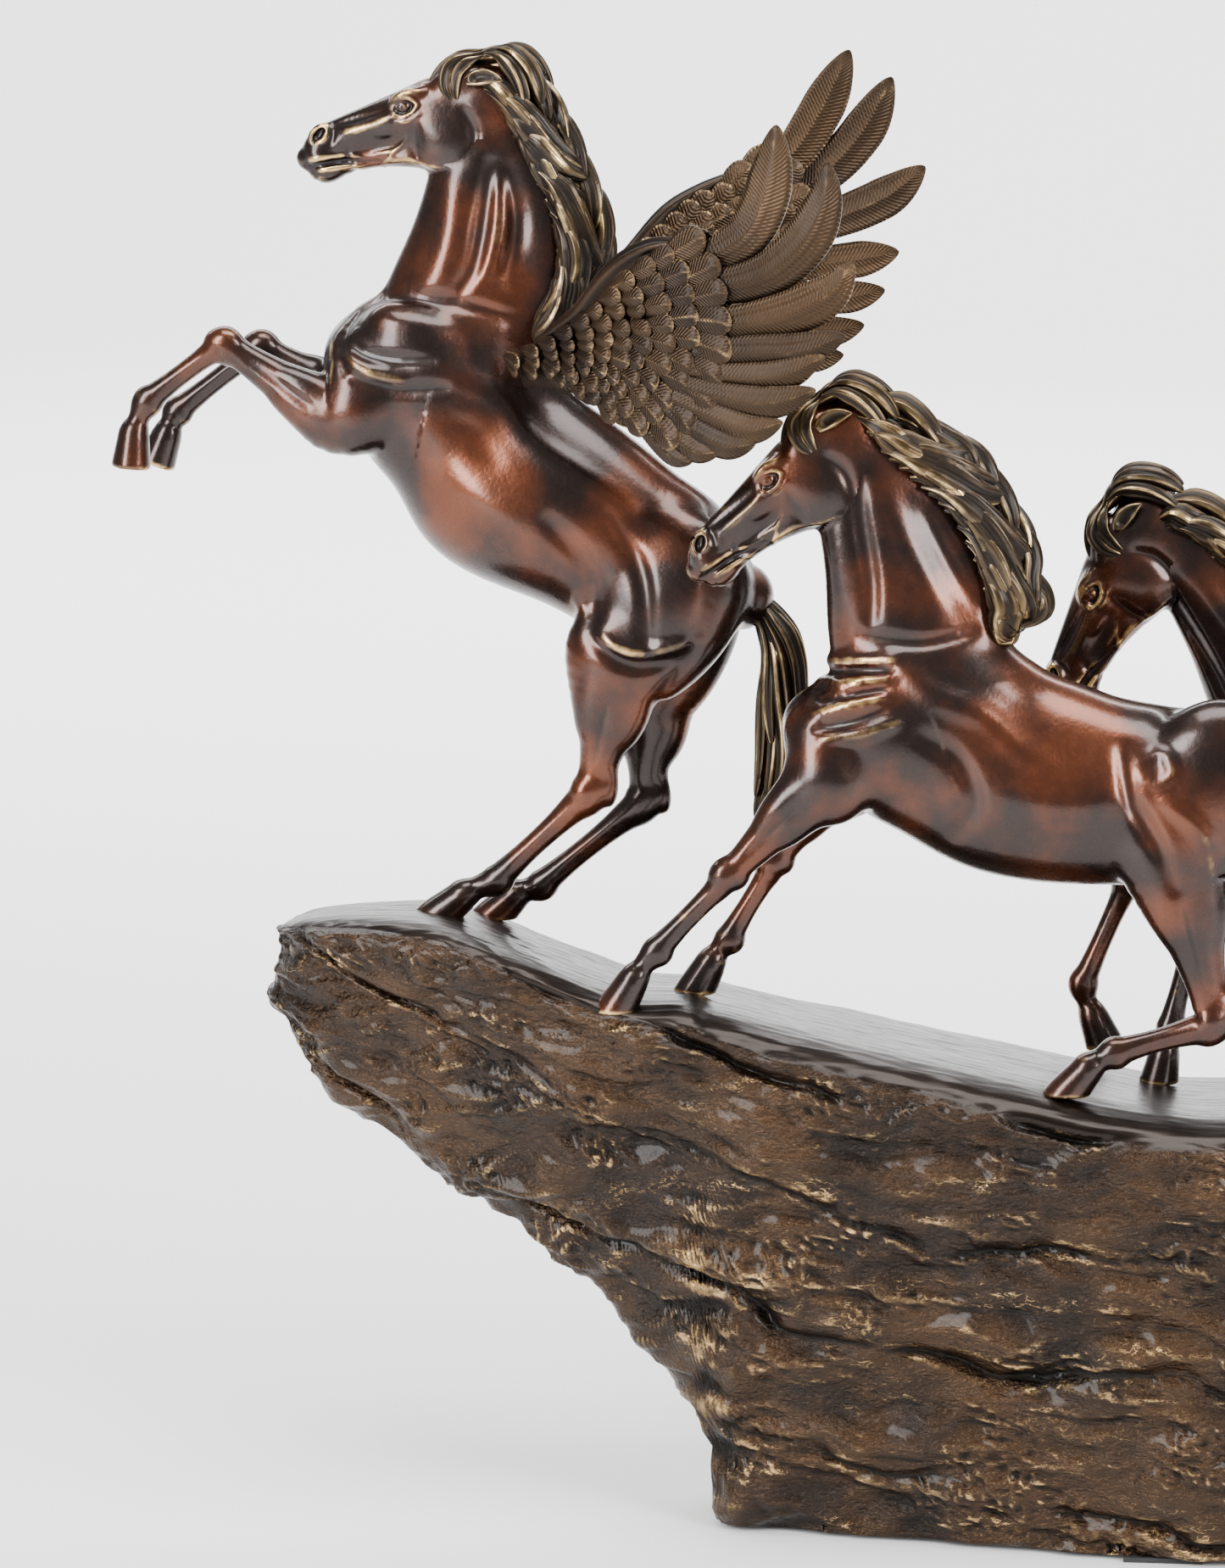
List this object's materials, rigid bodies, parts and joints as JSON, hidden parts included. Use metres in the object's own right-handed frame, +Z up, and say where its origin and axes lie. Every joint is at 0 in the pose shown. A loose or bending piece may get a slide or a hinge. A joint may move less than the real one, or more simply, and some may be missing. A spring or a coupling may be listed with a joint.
{
  "type": "bronze horse statue",
  "caption": "Cast bronze group: a rearing winged horse on the prow of an overhanging rock, with galloping horses behind it, welded and bolted to a hollow rock base.",
  "frame": {"origin": "middle of the bounding box in X and Y, on the surface the statue stands on", "axes": "+Z up, -X the way the horses face, -Y the side of the front horse; +X is the longest extent and +Y the shortest"},
  "size_m": [1.0084, 0.2724, 0.873],
  "materials": {
    "body_bronze": "waxed dark red-brown patina over bronze, glossy, rubbed to gold on edges",
    "hair_bronze": "dark patina in the grooves, gold rubbed on the ridges",
    "feather_bronze": "satin brown patina with gold on the feather edges",
    "rock_bronze": "dark brown patina, satin, gold specks on the ridges",
    "hardware_steel": "zinc-plated",
    "pad_rubber": "matt black"
  },
  "bodies": {
    "root": {"pegasus_head": "body_bronze", "pegasus_left_foreleg": "body_bronze", "pegasus_left_hindleg": "body_bronze", "pegasus_left_hindleg_nut": "hardware_steel", "pegasus_left_hindleg_stud": "hardware_steel", "pegasus_left_wing": "feather_bronze", "pegasus_mane": "hair_bronze", "pegasus_neck": "body_bronze", "pegasus_right_foreleg": "body_bronze", "pegasus_right_hindleg": "body_bronze", "pegasus_right_hindleg_nut": "hardware_steel", "pegasus_right_hindleg_stud": "hardware_steel", "pegasus_right_wing": "feather_bronze", "pegasus_tail": "hair_bronze", "pegasus_torso": "body_bronze", "front_horse_head": "body_bronze", "front_horse_left_foreleg": "body_bronze", "front_horse_left_foreleg_nut": "hardware_steel", "front_horse_left_foreleg_stud": "hardware_steel", "front_horse_left_hindleg": "body_bronze", "front_horse_left_hindleg_nut": "hardware_steel", "front_horse_left_hindleg_stud": "hardware_steel", "front_horse_mane": "hair_bronze", "front_horse_neck": "body_bronze", "front_horse_right_foreleg": "body_bronze", "front_horse_right_foreleg_nut": "hardware_steel", "front_horse_right_foreleg_stud": "hardware_steel", "front_horse_right_hindleg": "body_bronze", "front_horse_right_hindleg_nut": "hardware_steel", "front_horse_right_hindleg_stud": "hardware_steel", "front_horse_tail": "hair_bronze", "front_horse_torso": "body_bronze", "rear_horse_head": "body_bronze", "rear_horse_left_foreleg": "body_bronze", "rear_horse_left_foreleg_nut": "hardware_steel", "rear_horse_left_foreleg_stud": "hardware_steel", "rear_horse_left_hindleg": "body_bronze", "rear_horse_left_hindleg_nut": "hardware_steel", "rear_horse_left_hindleg_stud": "hardware_steel", "rear_horse_mane": "hair_bronze", "rear_horse_neck": "body_bronze", "rear_horse_right_foreleg": "body_bronze", "rear_horse_right_hindleg": "body_bronze", "rear_horse_right_hindleg_nut": "hardware_steel", "rear_horse_right_hindleg_stud": "hardware_steel", "rear_horse_tail": "hair_bronze", "rear_horse_torso": "body_bronze", "rock_back_left": "rock_bronze", "rock_back_right": "rock_bronze", "rock_deck_left": "rock_bronze", "rock_deck_right": "rock_bronze", "rock_front_left": "rock_bronze", "rock_front_right": "rock_bronze", "rock_prow": "rock_bronze", "foot_pad_1": "pad_rubber", "foot_pad_2": "pad_rubber", "foot_pad_3": "pad_rubber", "foot_pad_4": "pad_rubber", "foot_pad_5": "pad_rubber"}
  },
  "joints": []
}
